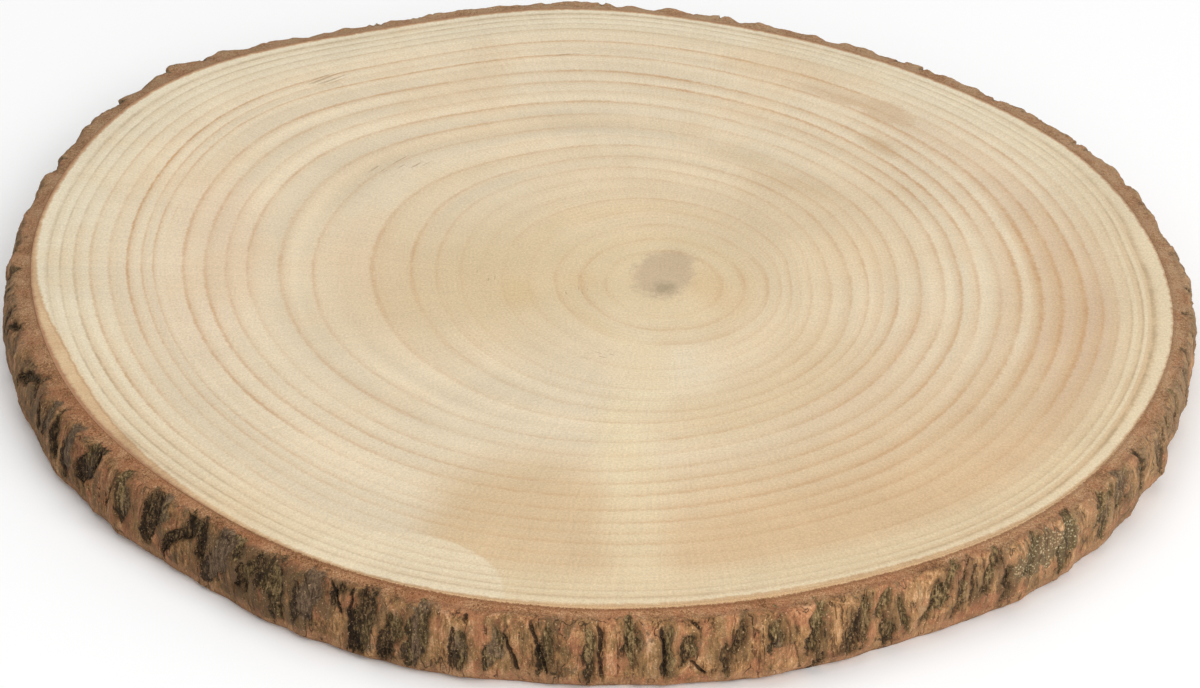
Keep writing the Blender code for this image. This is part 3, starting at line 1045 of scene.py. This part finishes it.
    patch = look["lichen"]
    mossy = np.hypot(turnApart(turn, patch[0]) / patch[1], (z + warpUp - patch[2]) / patch[3])
    giveAttribute(piece, "furrow", whole(furrow, -3.0))
    giveAttribute(piece, "tone", whole(tone, 1.0))
    giveAttribute(piece, "flank", whole(np.clip(flank, -2, 2), 0.0))
    giveAttribute(piece, "crack", whole(crack, 0.0))
    giveAttribute(piece, "pastJoint", whole(-fromWood - alongTurn("joint", turn), -20.0))
    dark = np.zeros(turn.shape)
    for place, halfWidth, strength in look["weathered"]:
        dark = np.maximum(dark, strength * hill(turn, place, halfWidth))
    giveAttribute(piece, "weathered", whole(dark * ease(z / 5), 0.0))
    fadedAt = np.array(look["faded"])
    giveAttribute(piece, "faded", whole(np.interp(turn, fadedAt[:, 0], fadedAt[:, 1]), 0.5))
    giveAttribute(piece, "fromWood", whole(fromWood, 20.0))
    giveAttribute(piece, "lichen", whole(1 - ease((mossy - 0.7) / 0.5), 0.0))
    # how deep each point is sunk, used as painted shade in the recesses
    giveAttribute(piece, "hollow", whole(np.clip(-offset / 1.6, 0, 1), 0.4))
    return column, row


def unwrapBark(piece, rows, column, row):
    # five strips, one above another, each a fifth of the way round
    columns = barkLook["columns"]
    strips = 5
    mesh = piece.data
    layer = mesh.uv_layers.new(name="OFBake")
    mesh.uv_layers.active = layer
    layer.active_render = True
    loops = np.empty(len(mesh.loops), int)
    mesh.loops.foreach_get("vertex_index", loops)
    columnAt = column[loops].reshape(-1, 4)
    rowAt = row[loops].reshape(-1, 4)
    firstColumn = columnAt.min(1)
    seam = columnAt.max(1) - firstColumn > 1
    firstColumn[seam] = columns - 1
    firstRow = rowAt.min(1)
    close = rowAt.max(1) - firstRow > 1
    firstRow[close] = rows - 1
    right = (columnAt - firstColumn[:, None]) % columns
    up = (rowAt - firstRow[:, None]) % rows
    wide = columns // strips
    strip = firstColumn // wide
    places = np.empty((len(columnAt), 4, 2))
    places[:, :, 0] = 0.01 + 0.98 * ((firstColumn - strip * wide)[:, None] + right) / wide
    places[:, :, 1] = (strip[:, None] + 0.03 + 0.94 * (firstRow[:, None] + up) / rows) / strips
    layer.data.foreach_set("uv", places.astype(np.float32).ravel())


def barkMaterial():
    look = barkLook
    colours = look["colours"]
    material, shader, wire = newMaterial("weathered_bark", 0.9, 0.2)
    place = wire.node("TexCoord", out="Object")
    upright = place.stretched((1.0, 1.0, 0.24))
    furrow = wire.stored("furrow")
    tone = wire.stored("tone")
    crack = wire.stored("crack")
    fromWood = wire.stored("fromWood")
    hollow = wire.stored("hollow")
    side = fromWood.rise(3.4, 6.0)
    height = place.node("SeparateXYZ", {}, {0: place}, out="Z")
    foot = (height + (place.noise(90.0, 2.0) - 0.5) * 0.012).rise(0.0052, 0.0022)

    strand = upright.noise(430.0, 4.0, 0.68, 0.3)
    hair = upright.noise(1500.0, 3.0, 0.65)
    grit = place.noise(2600.0, 2.0, 0.7)
    patch = place.noise(95.0, 3.0, 0.6, 0.5)
    mottle = place.noise(1100.0, 3.0, 0.7)

    # how far inside a furrow, with a ragged edge
    ragged = (place.noise(600.0, 3.0, 0.65) - 0.5) * 2.4 + (hair - 0.5) * 3.2 + (strand - 0.5) * 2.0
    depth = furrow + ragged
    belowBand = (fromWood + (strand - 0.5) * 6.0).rise(2.6, 3.8)
    inside = depth.rise(-0.15, 0.25) * belowBand

    folds = upright.noise(190.0, 3.0, 0.55, 0.7)
    tonal = (folds - 0.5) * 1.6 + (strand - 0.5) * 1.7 + (hair - 0.5) * 1.6 + (patch - 0.5) * 1.0 + 0.46
    ridge = tonal.ramp(look["ridgeStops"])
    redder = place.noise(150.0, 2.0).rise(0.44, 0.62)
    ridge = ridge.toward(colours["red"], redder * 0.45)
    drab = (upright.noise(240.0, 3.0, 0.6) + (mottle - 0.5) * 0.5).rise(0.50, 0.60) * side
    ridge = ridge.toward(colours["drab"], drab * 0.5)
    # the ridges are darker close to each furrow, more so beside the black ones
    furrowMargin = depth.rise(-2.6, -0.2) * side
    ridge = ridge.toward(colours["furrowMargin"], furrowMargin * (0.30 + 0.35 * tone.rise(1.0, 0.0)))
    worn = wire.stored("weathered") + (patch - 0.5) * 1.6 + (strand - 0.5) * 2.4
    ridge = ridge.toward(colours["worn"], worn.rise(0.42, 0.72) * 0.8)
    ridge = ridge.toward(colours["foot"], foot * 0.45)

    # the sanded band above the furrows
    bandTone = (mottle - 0.5) * 1.6 + (patch - 0.5) * 1.5 + (grit - 0.5) * 1.3 + (hair - 0.5) * 0.8 + 0.5
    band = bandTone.ramp(look["bandStops"]).toward(colours["redBand"], redder * 0.35)
    colour = band.toward(ridge, side)

    # the inside of the furrows, black, olive or grey, with flecks of the ridges' bark
    weather = (hair - 0.5) * 2.8 + (mottle - 0.5) * 1.4 + (strand - 0.5) * 1.6 + 0.5
    hue = tone + (folds - 0.5) * 3.4 + (patch - 0.5) * 2.0
    black = weather.ramp(look["blackStops"])
    olive = weather.ramp(look["oliveStops"])
    grey = (weather * 0.6 + 0.2).ramp(look["greyStops"])
    old = black.toward(olive, hue.rise(0.10, 0.85)).toward(grey, hue.rise(1.15, 1.8))
    flakes = upright.noise(330.0, 3.0, 0.6, 0.5) + (hair - 0.5) * 0.4
    flecks = flakes.rise(0.54, 0.63) * depth.rise(1.6, 0.2)
    colour = colour.toward(old, inside * (1 - flecks * 0.75))

    # a dark slit along one side of each furrow
    flank = wire.stored("flank") + (hair - 0.5) * 1.2
    slit = flank.rise(-0.40, -0.70) * depth.rise(-0.5, 0.1) * depth.rise(1.5, 0.5) * belowBand
    colour = colour.toward(colours["slit"], slit * 0.75)

    dust = place.cells(1250.0) + (mottle - 0.5) * 1.4
    lichen = (wire.stored("lichen") + (mottle - 0.5) * 2.0).rise(0.45, 0.62) * side
    pale = (dust + (grit - 0.5) * 0.5).ramp(look["lichenStops"])
    colour = colour.toward(pale, lichen * 0.8)

    # thin fissures run up the side wherever the noise crosses its middle
    tall = place.stretched((1.0, 1.0, 0.10))
    wander = abs(tall.noise(210.0, 2.0, 0.6) - 0.5)
    fissure = wander.rise(0.018, 0.003) * side * patch.rise(0.42, 0.52) * strand.rise(0.60, 0.48)
    split = (crack + (place.noise(800.0, 2.0) - 0.5) * 0.5).rise(0.5, 0.75)
    split = split.most(fissure * 0.8)
    colour = colour.toward(colours["fissure"], split * 0.85)

    # pale crumbs and dark pinholes
    crumbs = place.noise(1700.0, 2.0, 0.6)
    colour = colour.toward(colours["crumbs"], crumbs.rise(0.62, 0.72) * side * 0.55)
    colour = colour.toward(colours["pinholes"], crumbs.rise(0.37, 0.29) * 0.5)

    # tan bast against the wood, where the wood's own edge doesn't hold all of it
    past = wire.stored("pastJoint") + (mottle - 0.5) * 1.6
    colour = colour.toward(colours["bast"], past.rise(-0.3, 0.3) * 0.9)
    # a dark line on the bark's edge beside the wood: partly its own colour, partly painted shadow of the slit
    # between bark and wood
    seam = past.rise(-1.3, -0.5) * past.rise(0.3, -0.2)
    colour = colour.toward(colours["seam"], seam * 0.6)
    uneven = (patch + (mottle - 0.5) * 1.2).rise(0.40, 0.58)
    pallor = wire.stored("faded") * (1 - inside * 0.6) * (0.35 + 0.40 * uneven)
    colour = colour.toward(colours["faded"], pallor)

    # the bark is paler towards the right: on the band this is its own colour, and the extra on the side is
    # painted light, as if lit from the right
    across = place.node("SeparateXYZ", {}, {0: place}, out="X")
    paleAndLitRight = across.rise(-0.15, 0.0) * 0.15 + across.rise(-0.06, 0.08) * side * 0.20
    bright = look["brightness"] + paleAndLitRight + (grit - 0.5) * 1.3
    # painted shade: the sunken places are made up to 15% darker
    colour = colour.lit(bright * (1 - hollow * 0.15))
    roughness = 0.90 - inside * 0.06 + (grit - 0.5) * 0.2
    heights = (
        (0 - inside, 0.0006, 0.6),
        (0 - split - slit, 0.0006, 0.7),
        ((strand * 0.6 + folds) * side, 0.0018, 0.6),
        ((hair + grit * 0.6) * (0.30 + 0.70 * side), 0.0004, 0.45),
    )
    finishMaterial(material.node_tree, shader, colour, roughness, heights)
    return material


barkRing, barkRows, barkRadius = addBarkRing()
columnOf, rowOf = shapeBark(barkRing, barkRows, barkRadius)
unwrapBark(barkRing, barkRows, columnOf, rowOf)
barkRing.data.materials.append(barkMaterial())
bpy.ops.object.shade_smooth_by_angle(angle=math.radians(80))
print("stage 3: bark ring shaped,", len(barkRing.data.polygons), "faces")

for piece in (woodDisc, barkRing):
    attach(piece, "root")
    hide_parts("wood_slice")


studioLook = {
    "floorSize": 12.0,
    "floorColour": (0.95, 0.95, 0.95, 1.0),
    "world": 0.46,
    "lights": (
        # name, place, size, power
        ("key_softbox", (1.5, -1.6, 1.9), 2.0, 34.0),
        ("top_softbox", (-0.2, 0.3, 2.6), 2.6, 26.0),
        ("front_softbox", (0.5, -3.0, 0.8), 2.2, 26.0),
    ),
    "aimShift": (0.0012, -0.0219, 0.0),
    "distance": 1.25,
    "elevation": 32.0,
    "lens": 129.0,
}


def addFloor():
    deselectAll()
    bpy.ops.mesh.primitive_plane_add(size=studioLook["floorSize"], location=(0, 0, low.z))
    floor = bpy.context.object
    floor.name = "floor"
    material = bpy.data.materials.new("pale_floor")
    material.use_nodes = True
    shader = material.node_tree.nodes["Principled BSDF"]
    shader.inputs["Base Color"].default_value = studioLook["floorColour"]
    shader.inputs["Roughness"].default_value = 0.9
    shader.inputs["Specular IOR Level"].default_value = 0.1
    floor.data.materials.append(material)


def addLights():
    for name, place, size, power in studioLook["lights"]:
        bpy.ops.object.light_add(type="AREA", location=place)
        light = bpy.context.object
        light.name = name
        light.data.shape = "DISK"
        light.data.size = size
        light.data.energy = power
        light.rotation_euler = (middle - Vector(place)).to_track_quat("-Z", "Y").to_euler()
    world = bpy.data.worlds.new("studio")
    world.use_nodes = True
    world.node_tree.nodes["Background"].inputs["Color"].default_value = (1.0, 1.0, 1.0, 1.0)
    world.node_tree.nodes["Background"].inputs["Strength"].default_value = studioLook["world"]
    bpy.context.scene.world = world


def addCamera():
    tilt = math.radians(studioLook["elevation"])
    aim = middle + Vector(studioLook["aimShift"])
    sight = Vector((0.0, math.cos(tilt), -math.sin(tilt)))
    bpy.ops.object.camera_add(
        location=aim - sight * studioLook["distance"], rotation=(math.radians(90) - tilt, 0, 0)
    )
    camera = bpy.context.object
    camera.data.lens = studioLook["lens"]
    camera.data.sensor_width = 36.0
    camera.data.clip_end = 50.0
    bpy.context.scene.camera = camera


addFloor()
addLights()
addCamera()
bpy.context.scene.view_settings.view_transform = "Standard"
print("stage 4: floor, lights and camera placed")

bpy.context.view_layer.update()
